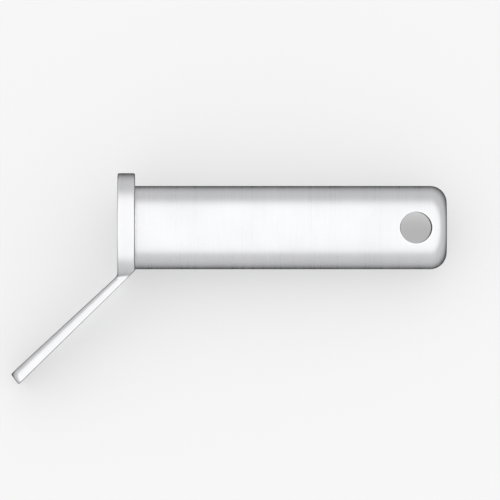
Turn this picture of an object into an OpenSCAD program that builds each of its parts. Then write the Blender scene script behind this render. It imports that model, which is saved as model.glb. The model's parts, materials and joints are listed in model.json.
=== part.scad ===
// Top link pin for a three-point hitch: a round steel pin with a collar, a slanting
// handle forged on to the collar and a cross hole for a linch pin near the far end.
// It lies on a flat surface and touches it with the collar's rim, the rounded end of
// the shank and one corner of the handle. Millimetres. The surface is z = 0.

/* [Shank] */
// Diameter of the shank
shank_d = 31.75; // [25:0.25:36]
// Radius of the rounded edge at the end of the shank
end_round = 6.35; // [3:0.05:8]
// Radius in the corner between shank and collar
neck_fillet = 0.35; // [0.2:0.05:0.8]

/* [Collar] */
// Diameter of the collar
collar_d = 41.5; // [38:0.5:48]
// Thickness of the collar
collar_t = 6.6; // [5:0.1:9]
// Radius of the collar's rim edges
collar_edge = 0.6; // [0.3:0.1:1.2]

/* [Handle] */
// Angle between the handle and the shank's axis
handle_slope = 43.6; // [38:0.1:52]
// Length of the handle from the neck to its tip
handle_length = 61.7; // [50:0.1:75]
// Width of the handle where it leaves the collar
handle_w = 20; // [16:0.5:22]
// Thickness of the handle where it leaves the collar
handle_root_t = 3.05; // [2.5:0.05:4.5]
// Thickness of the handle at its tip
handle_tip_t = 4.9; // [3.5:0.05:6]
// Angle by which the tip is cut off square
tip_slant = 6; // [0:1:10]
// Radius of the two corners of the handle's tip
tip_corner = 3; // [1.5:0.25:5]
// Radius in the bend between handle and collar
bend_fillet = 1; // [0.5:0.1:2]

/* [Cross hole] */
// Diameter of the cross hole for the linch pin
hole_d = 12; // [10:0.25:14]
// Distance from the collar's face to the middle of the cross hole
hole_at = 107; // [95:0.5:120]
// Distance from the middle of the cross hole to the end of the shank
hole_to_end = 11.8; // [10:0.1:20]
// Depth of the broken edge at each mouth of the cross hole
hole_edge = 0.35; // [0.2:0.05:0.8]

/* [Hidden] */
$fn = 96;

// How far shapes run into each other or past each other.
overlap = 2;
// Narrow ring of the collar's face left between the neck's fillet and the handle.
face_ring = 0.1;
// Room between the handle's sides and the outline that rounds its tip.
plan_room = 0.2;
// The handle's sides bulge: this is their radius over half the thickness.
crown = 1.15;
// Search for the resting pose: steps, steepest roll tried, samples along a tip corner.
search_steps = 30;
roll_limit = 60;
corner_samples = 24;

shank_length = hole_at + hole_to_end;
shank_r = shank_d / 2;
collar_r = collar_d / 2;
hole_r = hole_d / 2;

// The handle's lower face starts a little outside the neck's fillet.
land = neck_fillet + face_ring;
// Half the angle between the handle's faces, which spread toward the tip.
spread = atan((handle_tip_t - handle_root_t) / 2 / handle_length);
// Where the handle's middle line starts, inside the collar.
root_u = -handle_root_t / 2 * sin(handle_slope);
root_v = -(shank_r + land) + handle_root_t / 2 * cos(handle_slope);
// Middle of the handle's rounded sides, to each side of its middle plane.
side_w = handle_w / 2 - crown * handle_root_t / 2;
// Half the handle's width at the tip, with a little room for its sides.
tip_half_w = side_w + crown * handle_tip_t / 2 + plan_room;
// The slanting tip reaches furthest at the handle's lower face.
tip_reach = handle_length + handle_tip_t / 2 * tan(tip_slant);

function half_t(x) = handle_root_t / 2 + x * tan(spread);

// Points are [u, v, w] in the pin's own frame: u along the shank toward its end, v across
// it away from the handle, w along the cross hole. The handle's frame has x along its
// middle line, y toward its lower face and w again.
function from_handle(p) = [
    root_u - p[0] * cos(handle_slope) + p[1] * sin(handle_slope),
    root_v - p[0] * sin(handle_slope) - p[1] * cos(handle_slope),
    p[2],
];

// A point on the edge round the tip, a steps along one corner. The signs choose the face
// and the side.
function tip_point(a, face, side) =
    let (
        x = tip_reach - tip_corner * (1 - cos(a)),
        w = min(tip_half_w - tip_corner * (1 - sin(a)), side_w + crown * half_t(x)),
        out = max(w - side_w, 0),
        y = face * min(half_t(x), sqrt(max(0, pow(crown * half_t(x), 2) - out * out)))
    )
    from_handle([min(x, handle_length + y * tan(tip_slant)), y, side * w]);

tip_points = [
    for (i = [0:corner_samples], face = [-1, 1], side = [-1, 1])
        tip_point(90 * i / corner_samples, face, side)
];

// Pitch that lets the collar's rim and the shank's rounded end touch the same plane.
rim_u = -collar_edge;
rim_v = collar_r - collar_edge;
end_u = shank_length - end_round;
end_v = shank_r - end_round;
reach = norm([end_u - rim_u, end_v - rim_v]);
pitch = asin((collar_edge - end_round) / reach) - atan2(end_v - rim_v, end_u - rim_u);

// Where a point comes to lie when the pin is rolled about its shank and then pitched.
function laid(p, roll) =
    let (
        y = p[1] * cos(roll) - p[2] * sin(roll),
        z = p[1] * sin(roll) + p[2] * cos(roll)
    )
    [p[0] * cos(pitch) + z * sin(pitch), y, -p[0] * sin(pitch) + z * cos(pitch)];

// Height of the surface below the frame's start, and the lowest point of the tip.
surface_z = -rim_u * sin(pitch) - rim_v * cos(pitch) - collar_edge;
function tip_low(roll) = min([for (p = tip_points) laid(p, roll)[2]]);

// Roll at which the tip's lowest point reaches the surface, found by halving.
function find_roll(low, high, left) =
    let (middle = (low + high) / 2)
    left == 0 ? middle
    : tip_low(middle) > surface_z ? find_roll(middle, high, left - 1)
    : find_roll(low, middle, left - 1);
roll = find_roll(0, roll_limit, search_steps);

// The frame's origin is under the middle of the pin's box.
tip_laid = [for (p = tip_points) laid(p, roll)];
x_low = min([for (p = tip_laid) p[0]]);
x_high = end_u * cos(pitch) + end_v * sin(pitch) + end_round;
y_low = min([for (p = tip_laid) p[1]]);
y_high = collar_r;

module lay_down() {
    translate([-(x_low + x_high) / 2, -(y_low + y_high) / 2, -surface_z])
        rotate([roll, pitch, 0])
            children();
}

// Turns a shape that is revolved about z so that its axis runs along u.
module along_shank() {
    rotate([0, 90, 0]) children();
}

module in_handle() {
    translate([root_u, root_v, 0]) rotate([0, 0, 180 + handle_slope]) children();
}

// Half section of the shank: radius across, length upward. It starts inside the collar.
module shank_section() {
    start = -collar_t / 2;
    translate([0, start]) square([end_v, shank_length - start]);
    translate([0, start]) square([shank_r, end_u - start]);
    translate([end_v, end_u]) circle(end_round);
    // Fillet against the collar's face.
    difference() {
        translate([shank_r - overlap, start])
            square([overlap + neck_fillet, neck_fillet - start]);
        translate([shank_r + neck_fillet, neck_fillet]) circle(neck_fillet);
    }
}

module collar_section() {
    translate([0, -collar_t]) square([rim_v, collar_t]);
    translate([0, -collar_t + collar_edge]) square([collar_r, collar_t - 2 * collar_edge]);
    for (u = [-collar_edge, collar_edge - collar_t]) {
        translate([rim_v, u]) circle(collar_edge);
    }
}

// Side view of the handle.
module handle_side() {
    short = 2 * handle_length - tip_reach;
    polygon([
        [0, -half_t(0)],
        [short, -half_t(short)],
        [tip_reach, half_t(tip_reach)],
        [0, half_t(0)],
    ]);
}

// Side view of the fillet between the handle's upper face and the collar.
module bend_side() {
    slope = handle_slope - spread;
    start = from_handle([0, -half_t(0), 0]);
    corner = [-collar_t, start[1] - (collar_t + start[0]) * tan(slope)];
    back = bend_fillet / tan((90 + slope) / 2);
    middle = corner + [-bend_fillet, back];
    inside = corner + (corner - middle) / norm(corner - middle);
    difference() {
        polygon([
            corner + [0, back],
            middle,
            corner - back * [cos(slope), sin(slope)],
            inside,
        ]);
        translate(middle) circle(bend_fillet);
    }
}

// Shape that gives the handle its rounded sides.
module handle_sides() {
    translate([-overlap, -handle_tip_t, -side_w])
        cube([tip_reach + 2 * overlap, 2 * handle_tip_t, 2 * side_w]);
    for (side = [-1, 1]) {
        translate([-overlap, 0, side * side_w])
            rotate([0, 90, 0])
                cylinder(
                    r1 = crown * half_t(-overlap),
                    r2 = crown * half_t(tip_reach + overlap),
                    h = tip_reach + 2 * overlap
                );
    }
}

// Outline of the handle seen on its flat face, with the tip's rounded corners.
module handle_plan() {
    translate([-overlap, -tip_half_w])
        square([tip_reach - tip_corner + overlap, 2 * tip_half_w]);
    translate([-overlap, tip_corner - tip_half_w])
        square([tip_reach + overlap, 2 * (tip_half_w - tip_corner)]);
    for (side = [-1, 1]) {
        translate([tip_reach - tip_corner, side * (tip_half_w - tip_corner)])
            circle(tip_corner);
    }
}

module handle() {
    in_handle() intersection() {
        translate([0, 0, -handle_w]) linear_extrude(2 * handle_w) handle_side();
        handle_sides();
        translate([0, handle_tip_t, 0])
            rotate([90, 0, 0]) linear_extrude(2 * handle_tip_t) handle_plan();
    }
    // The fillet is as wide as the handle's flat face.
    bend_w = side_w + half_t(0) * sqrt(crown * crown - 1);
    translate([0, 0, -bend_w]) linear_extrude(2 * bend_w) bend_side();
}

module link_pin() {
    color("silver") lay_down() difference() {
        union() {
            along_shank() rotate_extrude() shank_section();
            difference() {
                along_shank() rotate_extrude() collar_section();
                // The handle's lower face goes on through the collar.
                in_handle()
                    translate([-2 * collar_r, 0, -2 * collar_r])
                        linear_extrude(4 * collar_r)
                            polygon([
                                [0, half_t(-2 * collar_r)],
                                [4 * collar_r, half_t(2 * collar_r)],
                                [4 * collar_r, 2 * collar_r],
                                [0, 2 * collar_r],
                            ]);
            }
            handle();
        }
        translate([hole_at, 0, -2 * shank_r]) cylinder(r = hole_r, h = 4 * shank_r);
        for (side = [0, 180]) {
            translate([hole_at, 0, 0]) rotate([side, 0, 0])
                translate([0, 0, shank_r - hole_edge - hole_r])
                    cylinder(r1 = 0, r2 = 2 * hole_r, h = 2 * hole_r);
        }
    }
}

link_pin();
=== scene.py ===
"""Looks of the top link pin: a turned and forged steel pin lying on a pale floor."""

import json
import math

import bmesh
import bpy
import numpy as np
from mathutils import Matrix, Vector


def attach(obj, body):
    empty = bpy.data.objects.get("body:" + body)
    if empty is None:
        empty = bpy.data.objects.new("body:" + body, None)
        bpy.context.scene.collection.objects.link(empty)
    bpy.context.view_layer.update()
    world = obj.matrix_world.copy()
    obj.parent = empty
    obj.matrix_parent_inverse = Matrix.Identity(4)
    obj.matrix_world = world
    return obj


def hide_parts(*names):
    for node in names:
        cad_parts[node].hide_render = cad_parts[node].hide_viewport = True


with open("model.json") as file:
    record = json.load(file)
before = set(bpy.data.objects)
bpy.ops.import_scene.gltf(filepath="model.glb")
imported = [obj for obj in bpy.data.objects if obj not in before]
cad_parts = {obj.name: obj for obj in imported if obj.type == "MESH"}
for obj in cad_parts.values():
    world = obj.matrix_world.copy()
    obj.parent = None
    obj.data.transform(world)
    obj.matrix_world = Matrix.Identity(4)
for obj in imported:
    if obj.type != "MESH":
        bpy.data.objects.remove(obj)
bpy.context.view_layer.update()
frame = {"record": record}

# Sizes in millimetres, in the pin's own frame: u along the shank toward its free end, v
# across it away from the handle, w along the cross hole.
mounts = {m["name"]: m for m in frame["record"]["mounts"]}
SHANK_R = mounts["shank"]["dims"]["r_mm"]
HOLE_R = mounts["linch_hole"]["dims"]["r_mm"]
HOLE_AT = 107.0
HOLE_EDGE = 0.35
SHANK_END = 118.8
END_ROUND = 6.35
NECK_FILLET = 0.35
COLLAR_R = 20.75
COLLAR_T = 6.6
COLLAR_EDGE = 0.6
HANDLE_SLOPE = math.radians(43.6)
HANDLE_LENGTH = 61.7
HANDLE_W = 18.4
ROOT_HALF_T = 3.05 / 2
TIP_HALF_T = 4.9 / 2
TIP_SLANT = math.radians(6)
TIP_CORNER = 3.0
BEND_FILLET = 1.0
# How far the handle's lower face passes the shank at the collar's face.
NECK_ROOM = 0.1
# The handle's sides are rounded toward its upper face. Over half the thickness: how far the
# middle of the rounding lies toward the lower face, and its radius.
ROUND_SHIFT = 0.75
ROUND_SIZE = 1.78
# Broken edges, which the solid leaves sharp.
UPPER_EDGE = 0.3
LOWER_EDGE_ROOT = 0.25
LOWER_EDGE_TIP = 0.6
MOUTH_EDGE = 0.2
# Points of a mesh that are closer than this are one point.
JOIN = 1e-4
# Edges of the mesh are split while they bend by more degrees and are longer than this.
GENTLE_BEND, GENTLE_STEP = 2.8, 0.5
SHARP_BEND, SHARP_STEP = 12, 0.13

SPREAD = math.atan((TIP_HALF_T - ROOT_HALF_T) / HANDLE_LENGTH)
SIDE_W = HANDLE_W / 2 - ROUND_SIZE * ROOT_HALF_T
ROOT_U = -ROOT_HALF_T * math.sin(HANDLE_SLOPE)
ROOT_V = -(SHANK_R + NECK_FILLET + NECK_ROOM) + ROOT_HALF_T * math.cos(HANDLE_SLOPE)

# The pin's frame in the row's frame, from the axes of the shank and the cross hole.
along = Vector(mounts["shank"]["axis"]).normalized()
through = Vector(mounts["linch_hole"]["axis"]).normalized()
across = through.cross(along).normalized()
pin_start = Vector(mounts["linch_hole"]["pos_m"]) - along * HOLE_AT / 1000
pin_turn = Matrix((along, across, through)).transposed()


def half_t(x):
    """Half the handle's thickness, x along its middle line."""
    return ROOT_HALF_T + x * math.tan(SPREAD)


def from_handle(x, y, w):
    """A point given along the handle's middle line, toward its lower face and across it."""
    c, s = math.cos(HANDLE_SLOPE), math.sin(HANDLE_SLOPE)
    return (ROOT_U - x * c + y * s, ROOT_V - x * s - y * c, w)


# The pin's surface is where a distance is zero. It is negative inside the steel, and its
# pieces are joined with true arcs: a rounded edge or a fillet of a given radius.


def round_edge(a, b, r):
    """Common part of two shapes, with the edge between them rounded."""
    return np.minimum(-r, np.maximum(a, b)) + np.hypot(np.maximum(a + r, 0), np.maximum(b + r, 0))


def fillet(a, b, r):
    """Union of two shapes, with a fillet in the corner between them."""
    return np.maximum(r, np.minimum(a, b)) - np.hypot(np.maximum(r - a, 0), np.maximum(r - b, 0))


def shank_distance(u, r):
    return np.maximum(round_edge(r - SHANK_R, u - SHANK_END, END_ROUND), -COLLAR_T / 2 - u)


def collar_distance(u, r):
    front = round_edge(r - COLLAR_R, u, COLLAR_EDGE)
    return round_edge(front, -COLLAR_T - u, COLLAR_EDGE)


def handle_distance(x, y, w):
    """The handle without its lower face, which also cuts the collar."""
    t = half_t(x)
    upper = (-y - t) * math.cos(SPREAD)
    radius = ROUND_SIZE * t
    off = np.clip(y, -t, t) - ROUND_SHIFT * t
    run = np.sqrt(np.maximum(radius**2 - off**2, 0.01))
    side = (np.abs(w) - SIDE_W - run) * run / radius
    tip = (x - HANDLE_LENGTH - y * math.tan(TIP_SLANT)) * math.cos(TIP_SLANT)
    return round_edge(round_edge(side, tip, TIP_CORNER), upper, UPPER_EDGE)


def pin_distance(p):
    """Distance of points from the whole pin's surface."""
    u, v, w = p[:, 0], p[:, 1], p[:, 2]
    r = np.hypot(v, w)
    c, s = math.cos(HANDLE_SLOPE), math.sin(HANDLE_SLOPE)
    x = -(u - ROOT_U) * c - (v - ROOT_V) * s
    y = (u - ROOT_U) * s - (v - ROOT_V) * c

    # The handle ends inside the collar, behind the face that the shank leaves.
    handle = np.maximum(handle_distance(x, y, w), u + 2 * BEND_FILLET)
    forged = fillet(collar_distance(u, r), handle, BEND_FILLET)
    lower = (y - half_t(x)) * math.cos(SPREAD)
    share = np.clip(x / HANDLE_LENGTH, 0, 1)
    forged = round_edge(forged, lower, LOWER_EDGE_ROOT + share * (LOWER_EDGE_TIP - LOWER_EDGE_ROOT))

    body = fillet(forged, shank_distance(u, r), NECK_FILLET)
    hole = HOLE_R - np.hypot(u - HOLE_AT, v)
    mouth = (hole + np.abs(w) - (SHANK_R - HOLE_EDGE)) * math.sqrt(0.5)
    return round_edge(round_edge(body, hole, MOUTH_EDGE), mouth, MOUTH_EDGE)


def slope_of(p, step=2e-3):
    """Gradient of the distance, by central differences."""
    slope = np.empty_like(p)
    for k in range(3):
        d = np.zeros(3)
        d[k] = step
        slope[:, k] = pin_distance(p + d) - pin_distance(p - d)
    return slope / (2 * step)


def outward(p):
    """Directions of length 1 that lead straight out of the steel."""
    slope = slope_of(p)
    return slope / np.linalg.norm(slope, axis=1)[:, None]


def pull_to_surface(p, turns=6):
    """Carries points to the surface, each step being the distance over its slope."""
    for _ in range(turns):
        slope = slope_of(p)
        p = p - slope * (pin_distance(p) / np.maximum((slope**2).sum(1), 1e-3))[:, None]
    return p


# The shank and the collar are turned: a Geometry Nodes tree carries a half section with
# rounded corners about the pin's axis.


def turned_bar_tree():
    tree = bpy.data.node_groups.new("turned bar", "GeometryNodeTree")
    tree.is_modifier = True

    def take(name, kind, value=None):
        socket = tree.interface.new_socket(name=name, in_out="INPUT", socket_type=kind)
        if value is not None:
            socket.default_value = value
        return socket.identifier

    take("Geometry", "NodeSocketGeometry")
    names = ("Back", "Front", "Radius", "Back edge", "Front edge")
    sockets = {name: take(name, "NodeSocketFloat", 1.0) for name in names}
    sockets["Steps round"] = take("Steps round", "NodeSocketInt", 144)
    sockets["Steel"] = take("Steel", "NodeSocketMaterial")
    tree.interface.new_socket(
        name="Geometry", in_out="OUTPUT", socket_type="NodeSocketGeometry"
    )

    def add(kind, *values, **settings):
        """A node whose first inputs are given as numbers or as other nodes' outputs."""
        node = tree.nodes.new(kind)
        for name, setting in settings.items():
            setattr(node, name, setting)
        for socket, value in zip(node.inputs, values):
            if isinstance(value, (int, float)):
                socket.default_value = value
            elif value is not None:
                tree.links.new(value, socket)
        return node

    def maths(operation, *values):
        return add("ShaderNodeMath", *values, operation=operation).outputs[0]

    def point(*values):
        return add("ShaderNodeCombineXYZ", *values).outputs[0]

    given = add("NodeGroupInput").outputs
    number = add("GeometryNodeInputIndex").outputs[0]

    def by_number(kind, values):
        """The value that belongs to each point of the section's corners."""
        node = add("GeometryNodeIndexSwitch", data_type=kind)
        while len(node.index_switch_items) < len(values):
            node.index_switch_items.new()
        tree.links.new(number, node.inputs["Index"])
        for k, value in enumerate(values):
            if isinstance(value, float):
                node.inputs[k + 1].default_value = value
            else:
                tree.links.new(value, node.inputs[k + 1])
        return node.outputs[0]

    # Half section: x along the axis, y outward.
    corners = [
        (point(given["Back"], 0.0), 0.0),
        (point(given["Back"], given["Radius"]), given["Back edge"]),
        (point(given["Front"], given["Radius"]), given["Front edge"]),
        (point(given["Front"], 0.0), 0.0),
    ]
    line = add("GeometryNodeMeshLine")
    line.inputs["Count"].default_value = len(corners)
    bent = add("GeometryNodeSetPosition", line.outputs[0])
    tree.links.new(by_number("VECTOR", [c[0] for c in corners]), bent.inputs["Position"])
    curve = add("GeometryNodeMeshToCurve", bent.outputs[0])
    rounded = add("GeometryNodeFilletCurve", curve.outputs[0], mode="POLY")
    rounded.inputs["Count"].default_value = 10
    tree.links.new(by_number("FLOAT", [c[1] for c in corners]), rounded.inputs["Radius"])
    section = add("GeometryNodeCurveToMesh", rounded.outputs[0])

    # A grid whose rows are copies of the section, each turned one step further.
    size = add("GeometryNodeAttributeDomainSize", section.outputs[0], component="MESH")
    per_row = size.outputs["Point Count"]
    grid = add("GeometryNodeMeshGrid")
    tree.links.new(maths("ADD", given["Steps round"], 1.0), grid.inputs["Vertices X"])
    tree.links.new(per_row, grid.inputs["Vertices Y"])
    row = maths("FLOOR", maths("DIVIDE", number, per_row))
    angle = maths("MULTIPLY", maths("DIVIDE", row, given["Steps round"]), 2 * math.pi)
    on_section = add("GeometryNodeSampleIndex", section.outputs[0], data_type="FLOAT_VECTOR")
    tree.links.new(add("GeometryNodeInputPosition").outputs[0], on_section.inputs["Value"])
    tree.links.new(maths("MODULO", number, per_row), on_section.inputs["Index"])
    place = add("ShaderNodeSeparateXYZ", on_section.outputs[0]).outputs
    carried = point(
        place["X"],
        maths("MULTIPLY", place["Y"], maths("COSINE", angle)),
        maths("MULTIPLY", place["Y"], maths("SINE", angle)),
    )
    turned = add("GeometryNodeSetPosition", grid.outputs["Mesh"])
    tree.links.new(carried, turned.inputs["Position"])
    closed = add("GeometryNodeMergeByDistance", turned.outputs[0])
    closed.inputs["Distance"].default_value = JOIN
    plain = add("GeometryNodeRealizeInstances", closed.outputs[0])
    dressed = add("GeometryNodeSetMaterial", plain.outputs[0])
    tree.links.new(given["Steel"], dressed.inputs["Material"])
    add("NodeGroupOutput", dressed.outputs[0])
    return tree, sockets


def put(name, data):
    """An object at the origin that shows a mesh or holds a camera."""
    obj = bpy.data.objects.new(name, data)
    bpy.context.collection.objects.link(obj)
    return obj


def plain_mesh(obj):
    """The mesh that an object's modifiers lead to."""
    graph = bpy.context.evaluated_depsgraph_get()
    return bpy.data.meshes.new_from_object(obj.evaluated_get(graph), depsgraph=graph)


def turned_bar(name, tree, sockets, sizes):
    """A plain turned body, whose sizes are given by the names of the tree's inputs."""
    bar = put(name, bpy.data.meshes.new(name))
    turning = bar.modifiers.new(tree.name, "NODES")
    turning.node_group = tree
    for size, value in sizes.items():
        turning[sockets[size]] = value
    mesh = plain_mesh(bar)
    bar.modifiers.remove(turning)
    bar.data = mesh
    b = bmesh.new()
    b.from_mesh(mesh)
    bmesh.ops.recalc_face_normals(b, faces=b.faces)
    b.to_mesh(mesh)
    b.free()
    return bar


def lofted_block(name, first, last):
    """A closed block between two rings that have the same number of points."""
    b = bmesh.new()
    rings = [[b.verts.new(p) for p in ring] for ring in (first, last)]
    for ring in rings:
        b.faces.new(ring)
    n = len(first)
    for k in range(n):
        b.faces.new((rings[0][k], rings[0][(k + 1) % n], rings[1][(k + 1) % n], rings[1][k]))
    bmesh.ops.recalc_face_normals(b, faces=b.faces)
    mesh = bpy.data.meshes.new(name)
    b.to_mesh(mesh)
    b.free()
    return put(name, mesh)


def handle_block(below=6.0, start=2.6):
    """The handle with its rounded sides, carried on past its lower face."""
    low = math.asin(-(1 + ROUND_SHIFT) / ROUND_SIZE)
    high = math.asin((1 - ROUND_SHIFT) / ROUND_SIZE)
    side = [
        (ROUND_SHIFT + ROUND_SIZE * math.sin(a), ROUND_SIZE * math.cos(a))
        for a in np.linspace(low, high, 8)
    ]

    def ring(x, slant):
        t = half_t(x)
        points = [(y * t, SIDE_W + run * t) for y, run in side]
        points.append((t + below, points[-1][1]))
        loop = points + [(y, -w) for y, w in reversed(points)]
        return [from_handle(x + y * math.tan(slant), y, w) for y, w in loop]

    return lofted_block("handle block", ring(start, 0), ring(HANDLE_LENGTH, TIP_SLANT))


def below_handle(reach=90.0, deep=45.0):
    """Everything below the plane of the handle's lower face."""
    sheet = [
        (-reach, half_t(-reach)),
        (reach, half_t(reach)),
        (reach, half_t(reach) + deep),
        (-reach, half_t(-reach) + deep),
    ]
    rings = [[from_handle(x, y, w) for x, y in sheet] for w in (-deep, deep)]
    return lofted_block("below the handle", *rings)


def drill_bit():
    """A round bar through the shank, where the cross hole goes."""
    around = np.linspace(0, 2 * math.pi, 96, endpoint=False)
    reach = 1.5 * SHANK_R
    rings = [
        [(HOLE_AT + HOLE_R * math.cos(a), HOLE_R * math.sin(a), w) for a in around]
        for w in (-reach, reach)
    ]
    return lofted_block("drill bit", *rings)


def cut_across(b, start, direction, stations, behind=math.inf):
    """Cuts the faces that lie behind a place along the axis with planes at the stations."""
    for station in stations:
        cut = [f for f in b.faces if f.calc_center_bounds()[0] < behind]
        around = {e for f in cut for e in f.edges} | {v for f in cut for v in f.verts}
        bmesh.ops.bisect_plane(
            b,
            geom=cut + list(around),
            dist=JOIN,
            plane_co=start + direction * float(station),
            plane_no=direction,
        )


def even_triangles(mesh):
    """Points and triangles of a mesh, cut across so that no triangle is long and thin."""
    b = bmesh.new()
    b.from_mesh(mesh)
    bmesh.ops.remove_doubles(b, verts=b.verts, dist=JOIN)
    bmesh.ops.dissolve_degenerate(b, edges=b.edges, dist=JOIN)
    on_collar = (-COLLAR_T + COLLAR_EDGE, -COLLAR_T / 2, -COLLAR_EDGE)
    at_neck = (0.6, 1.5, 4)
    on_shank = np.arange(8, HOLE_AT - HOLE_R - 1, 4)
    at_hole = np.linspace(HOLE_AT - HOLE_R, HOLE_AT + HOLE_R, 9)[:-1]
    stations = (*on_collar, *at_neck, *on_shank, *at_hole)
    cut_across(b, Vector((0, 0, 0)), Vector((1, 0, 0)), stations)
    root, further = (Vector(from_handle(x, 0, 0)) for x in (0, 1))
    cut_across(b, root, further - root, np.arange(9, HANDLE_LENGTH, 2), behind=-COLLAR_T)
    bmesh.ops.triangulate(b, faces=b.faces)
    b.verts.index_update()
    points = np.array([v.co[:] for v in b.verts])
    faces = np.array([[v.index for v in f.verts] for f in b.faces])
    b.free()
    return points, faces


def rough_pin(steel):
    """The pin with its faces and edges in their places, and the edges still sharp."""
    tree, sockets = turned_bar_tree()
    collar_sizes = {
        "Back": -COLLAR_T,
        "Front": 0.0,
        "Radius": COLLAR_R,
        "Back edge": COLLAR_EDGE,
        "Front edge": COLLAR_EDGE,
        "Steel": steel,
    }
    shank_sizes = {
        "Back": -COLLAR_T / 2,
        "Front": SHANK_END,
        "Radius": SHANK_R,
        "Back edge": 0.0,
        "Front edge": END_ROUND,
        "Steel": steel,
    }
    collar = turned_bar("collar", tree, sockets, collar_sizes)
    shank = turned_bar("shank", tree, sockets, shank_sizes)
    tools = [
        ("UNION", handle_block()),
        ("DIFFERENCE", below_handle()),
        ("UNION", shank),
        ("DIFFERENCE", drill_bit()),
    ]
    for operation, tool in tools:
        step = collar.modifiers.new(tool.name, "BOOLEAN")
        step.operation, step.object, step.solver = operation, tool, "EXACT"
    mesh = plain_mesh(collar)
    points, faces = even_triangles(mesh)
    bpy.data.meshes.remove(mesh)
    for obj in [collar] + [tool for operation, tool in tools]:
        old = obj.data
        bpy.data.objects.remove(obj)
        bpy.data.meshes.remove(old)
    return points, faces


def edge_ends(faces):
    """The numbers of both ends of each triangle's three edges, in one row per edge."""
    return np.sort(faces[:, [0, 1, 1, 2, 2, 0]].reshape(-1, 2), axis=1)


def split_faces(points, faces, middle):
    """Splits triangles at the middles of their edges. middle is -1 where an edge stays."""
    marked = (middle >= 0).sum(1)
    out = [faces[marked == 0]]

    def turned(rows, first):
        """Triangles and their edges' middles, turned so that edge `first` comes first."""
        f, m = faces[rows], middle[rows]
        order = (first[:, None] + np.arange(3)) % 3
        return np.take_along_axis(f, order, 1).T, np.take_along_axis(m, order, 1).T

    rows = marked == 1
    (a, b, c), (x, _, _) = turned(rows, (middle[rows] >= 0).argmax(1))
    out += [np.stack((a, x, c), 1), np.stack((x, b, c), 1)]

    rows = marked == 2
    (a, b, c), (x, y, _) = turned(rows, ((middle[rows] < 0).argmax(1) + 1) % 3)
    near = np.linalg.norm(points[a] - points[y], axis=1)
    near = near <= np.linalg.norm(points[x] - points[c], axis=1)
    out.append(np.stack((x, b, y), 1))
    out += [np.stack((a, x, y), 1)[near], np.stack((a, y, c), 1)[near]]
    out += [np.stack((a, x, c), 1)[~near], np.stack((x, y, c), 1)[~near]]

    rows = marked == 3
    (a, b, c), (x, y, z) = faces[rows].T, middle[rows].T
    out += [np.stack(t, 1) for t in ((a, x, z), (x, b, y), (z, y, c), (x, y, z))]
    return np.concatenate(out)


def unfolded(points, faces, normals, most_turns=40):
    """Spreads the points out where pulling them has folded small triangles over."""
    a, b = np.unique(edge_ends(faces), axis=0).T
    count = np.bincount(np.concatenate((a, b)), minlength=len(points))
    for _ in range(most_turns):
        corner = points[faces]
        lie = np.cross(corner[:, 1] - corner[:, 0], corner[:, 2] - corner[:, 0])
        outside = (lie * normals[faces].mean(1)).sum(1)
        folded = outside < 0.4 * np.linalg.norm(lie, axis=1)
        if not folded.any():
            break
        moved = np.unique(faces[folded])
        middle = np.zeros_like(points)
        np.add.at(middle, a, points[b])
        np.add.at(middle, b, points[a])
        points[moved] = pull_to_surface((middle / count[:, None])[moved])
        normals[moved] = outward(points[moved])
    return points, normals


def refined(points, faces, most_turns=16):
    """Pulls the rough pin on to its true surface, with more points where it bends."""
    points = pull_to_surface(points)
    normals = outward(points)
    for _ in range(most_turns):
        edges, which = np.unique(edge_ends(faces), axis=0, return_inverse=True)
        a, b = edges.T
        length = np.linalg.norm(points[a] - points[b], axis=1)
        chord = (points[b] - points[a]) / np.maximum(length, 1e-9)[:, None]
        # An edge also bends where it leaves the surface at one of its ends.
        lean = np.abs((np.stack((normals[a], normals[b])) * chord).sum(2)).max(0)
        turned = np.arccos(np.clip((normals[a] * normals[b]).sum(1), -1, 1))
        bend = np.degrees(np.maximum(turned, 2 * np.arcsin(np.clip(lean, 0, 1))))
        mark = (bend > GENTLE_BEND) & (length > GENTLE_STEP)
        mark |= (bend > SHARP_BEND) & (length > SHARP_STEP)
        if not mark.any():
            break
        middle = np.full(len(edges), -1)
        middle[mark] = len(points) + np.arange(mark.sum())
        fresh = pull_to_surface((points[a[mark]] + points[b[mark]]) / 2)
        points = np.concatenate((points, fresh))
        normals = np.concatenate((normals, outward(fresh)))
        faces = split_faces(points, faces, middle[which.ravel()].reshape(-1, 3))
    points, normals = unfolded(points, faces, normals)
    return points, faces, normals


def edge_amount(points, reach=0.3):
    """How sharply the steel turns at each point: 1 on a broken edge, 0 on a face."""
    bend = -6 * pin_distance(points)
    for k in range(3):
        d = np.zeros(3)
        d[k] = reach
        bend += pin_distance(points + d) + pin_distance(points - d)
    return np.clip(bend / reach**2 / 2, 0, 1)


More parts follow.
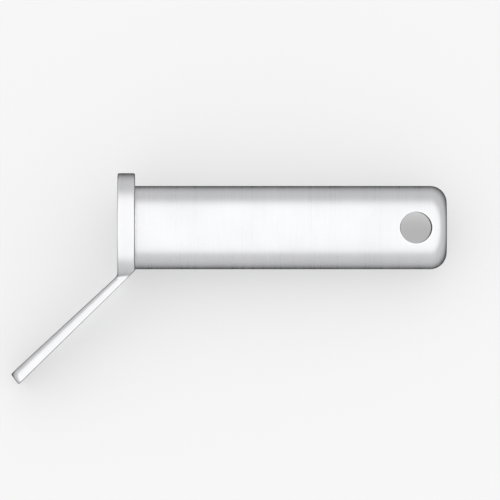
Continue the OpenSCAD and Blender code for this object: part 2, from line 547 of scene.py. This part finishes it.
def bright_steel():
    """Satin steel: fine rings where it was turned, a forged grain on the handle."""
    dark, light = (0.565, 0.567, 0.582, 1), (0.635, 0.637, 0.652, 1)
    ring_depth, grain_depth = 2.5e-6, 4e-5
    mat = bpy.data.materials.new("bright steel")
    mat.use_nodes = True
    tree = mat.node_tree
    shader = tree.nodes["Principled BSDF"]
    shader.inputs["Metallic"].default_value = 1
    shader.inputs["Specular Tint"].default_value = (0, 0, 0, 1)

    def add(kind, *values, **settings):
        node = tree.nodes.new(kind)
        for name, setting in settings.items():
            setattr(node, name, setting)
        for socket, value in zip(node.inputs, values):
            if isinstance(value, bpy.types.NodeSocket):
                tree.links.new(value, socket)
            elif value is not None:
                socket.default_value = value
        return node

    def maths(operation, *values):
        return add("ShaderNodeMath", *values, operation=operation).outputs[0]

    def noise(vector, per_mm, detail):
        node = add("ShaderNodeTexNoise")
        tree.links.new(vector, node.inputs["Vector"])
        node.inputs["Scale"].default_value = per_mm
        node.inputs["Detail"].default_value = detail
        return node.outputs["Fac"]

    def both(first, share, second):
        """Two patterns together, with a share of the first."""
        return maths("ADD", maths("MULTIPLY", first, share), maths("MULTIPLY", second, 1 - share))

    def between(amount, start, end, low, high):
        """Goes from low to high while the amount goes from start to end."""
        return add("ShaderNodeMapRange", amount, start, end, low, high).outputs[0]

    def blend(share, turned, forged):
        return add("ShaderNodeMix", share, None, turned, forged, data_type="FLOAT").outputs[0]

    # Places in the pin's own frame, in millimetres.
    place = add("ShaderNodeTexCoord").outputs["Object"]
    place = add("ShaderNodeMapping", place, pin_start, pin_turn.to_euler(), vector_type="TEXTURE")
    place = add("ShaderNodeVectorMath", place.outputs[0], operation="SCALE")
    place.inputs["Scale"].default_value = 1000
    u, v, w = add("ShaderNodeSeparateXYZ", place.outputs[0]).outputs
    r = maths("SQRT", maths("ADD", maths("MULTIPLY", v, v), maths("MULTIPLY", w, w)))

    # A cutter's rings follow the place along the axis and out from it, and hardly the way round.
    drift = maths("MULTIPLY", maths("ADD", v, w), 0.02)
    ring_place = add("ShaderNodeCombineXYZ", u, r, drift).outputs[0]
    rings = both(noise(ring_place, 2.6, 2.0), 0.6, noise(ring_place, 0.6, 3.0))
    grain = both(noise(place.outputs[0], 0.35, 3.0), 0.7, noise(place.outputs[0], 1.8, 4.0))
    on_handle = between(r, COLLAR_R - 0.5, COLLAR_R + 1.5, 0.0, 1.0)
    surface = blend(on_handle, rings, grain)
    edge = add("ShaderNodeAttribute", attribute_name="edge").outputs["Fac"]

    # Tone: the surface's pattern and wide clouds. Worn edges are lighter.
    tone = both(surface, 0.5, noise(place.outputs[0], 0.06, 4.0))
    tone = maths("ADD", between(tone, 0.3, 0.7, 0.0, 1.0), maths("MULTIPLY", edge, 0.5))
    colour = add("ShaderNodeMix", tone, data_type="RGBA")
    colour.inputs["A"].default_value = dark
    colour.inputs["B"].default_value = light
    tree.links.new(colour.outputs["Result"], shader.inputs["Base Color"])

    # Gloss: worn edges are smoother and the handle is a little rougher.
    satin = between(surface, 0.3, 0.7, 0.25, 0.35)
    satin = maths("SUBTRACT", satin, maths("MULTIPLY", edge, 0.05))
    satin = maths("ADD", satin, maths("MULTIPLY", on_handle, 0.04))
    tree.links.new(satin, shader.inputs["Roughness"])

    ring_height = maths("MULTIPLY", rings, ring_depth)
    depth = blend(on_handle, ring_height, maths("MULTIPLY", grain, grain_depth))
    relief = add("ShaderNodeBump")
    relief.inputs["Distance"].default_value = 1
    tree.links.new(depth, relief.inputs["Height"])
    tree.links.new(relief.outputs[0], shader.inputs["Normal"])
    return mat


def pin_piece():
    steel = bright_steel()
    points, faces, normals = refined(*rough_pin(steel))
    turn = np.array(pin_turn)
    places = points / 1000 @ turn.T + np.array(pin_start)
    mesh = bpy.data.meshes.new("pin")
    mesh.from_pydata(places.tolist(), [], faces.tolist())
    mesh.materials.append(steel)
    mesh.polygons.foreach_set("use_smooth", [True] * len(mesh.polygons))
    mesh.attributes.new("edge", "FLOAT", "POINT").data.foreach_set("value", edge_amount(points))
    mesh.update()
    mesh.normals_split_custom_set_from_vertices((normals @ turn.T).tolist())
    pin = put("pin_steel", mesh)
    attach(pin, "root")
    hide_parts("link_pin")


def pale_floor(reach=6.0, white_share=0.4):
    """A matt floor. The camera and the steel also see a share of white in it."""
    mesh = bpy.data.meshes.new("floor")
    corners = [(-reach, -reach, 0), (reach, -reach, 0), (reach, reach, 0), (-reach, reach, 0)]
    mesh.from_pydata(corners, [], [(0, 1, 2, 3)])
    paint = bpy.data.materials.new("pale floor")
    paint.use_nodes = True
    tree = paint.node_tree
    shader = tree.nodes["Principled BSDF"]
    shader.inputs["Base Color"].default_value = (0.58, 0.58, 0.58, 1)
    shader.inputs["Roughness"].default_value = 0.9
    shader.inputs["Specular IOR Level"].default_value = 0.1
    ray = tree.nodes.new("ShaderNodeLightPath")
    seen = ray.outputs["Is Camera Ray"]
    for other in ("Is Glossy Ray", "Is Transmission Ray"):
        either = tree.nodes.new("ShaderNodeMath")
        either.operation = "MAXIMUM"
        tree.links.new(seen, either.inputs[0])
        tree.links.new(ray.outputs[other], either.inputs[1])
        seen = either.outputs[0]
    share = tree.nodes.new("ShaderNodeMath")
    share.operation = "MULTIPLY"
    share.inputs[1].default_value = white_share
    tree.links.new(seen, share.inputs[0])
    white = tree.nodes.new("ShaderNodeEmission")
    mix = tree.nodes.new("ShaderNodeMixShader")
    tree.links.new(share.outputs[0], mix.inputs[0])
    tree.links.new(shader.outputs[0], mix.inputs[1])
    tree.links.new(white.outputs[0], mix.inputs[2])
    tree.links.new(mix.outputs[0], tree.nodes["Material Output"].inputs["Surface"])
    mesh.materials.append(paint)
    floor = put("floor", mesh)


def studio_light():
    """One broad soft light round the cross hole's axis, which fades toward the horizon."""
    # How far up each stop lies, 0 to 1, and how bright it is.
    horizon, overhead = (0.0, 0.85), (0.5, 1.6)
    world = bpy.data.worlds.new("studio")
    bpy.context.scene.world = world
    world.use_nodes = True
    tree = world.node_tree
    looking = tree.nodes.new("ShaderNodeTexCoord")
    height = tree.nodes.new("ShaderNodeVectorMath")
    height.operation = "DOT_PRODUCT"
    height.inputs[1].default_value = through
    fade = tree.nodes.new("ShaderNodeValToRGB")
    fade.color_ramp.interpolation = "EASE"
    for stop, (position, level) in zip(fade.color_ramp.elements, (horizon, overhead)):
        stop.position = position
        stop.color = (level, level, level, 1)
    tree.links.new(looking.outputs["Generated"], height.inputs[0])
    tree.links.new(height.outputs["Value"], fade.inputs[0])
    tree.links.new(fade.outputs[0], tree.nodes["Background"].inputs["Color"])


def drawing_camera():
    """Looks straight down the cross hole, from far away, as the drawing does."""
    mm_per_pixel, pixels = 0.38115, 500
    middle_u, middle_v = 43.85, -8.54
    middle = pin_start + pin_turn @ Vector((middle_u, middle_v, 0)) / 1000
    view = bpy.data.cameras.new("camera")
    view.lens = 1000
    view.sensor_width = 36
    distance = pixels * mm_per_pixel / 1000 * view.lens / view.sensor_width
    view.clip_end = 4 * distance
    camera = put("camera", view)
    camera.matrix_world = Matrix.Translation(middle + through * distance) @ pin_turn.to_4x4()
    bpy.context.scene.camera = camera


pin_piece()
pale_floor()
studio_light()
drawing_camera()
bpy.context.scene.view_settings.view_transform = "Standard"
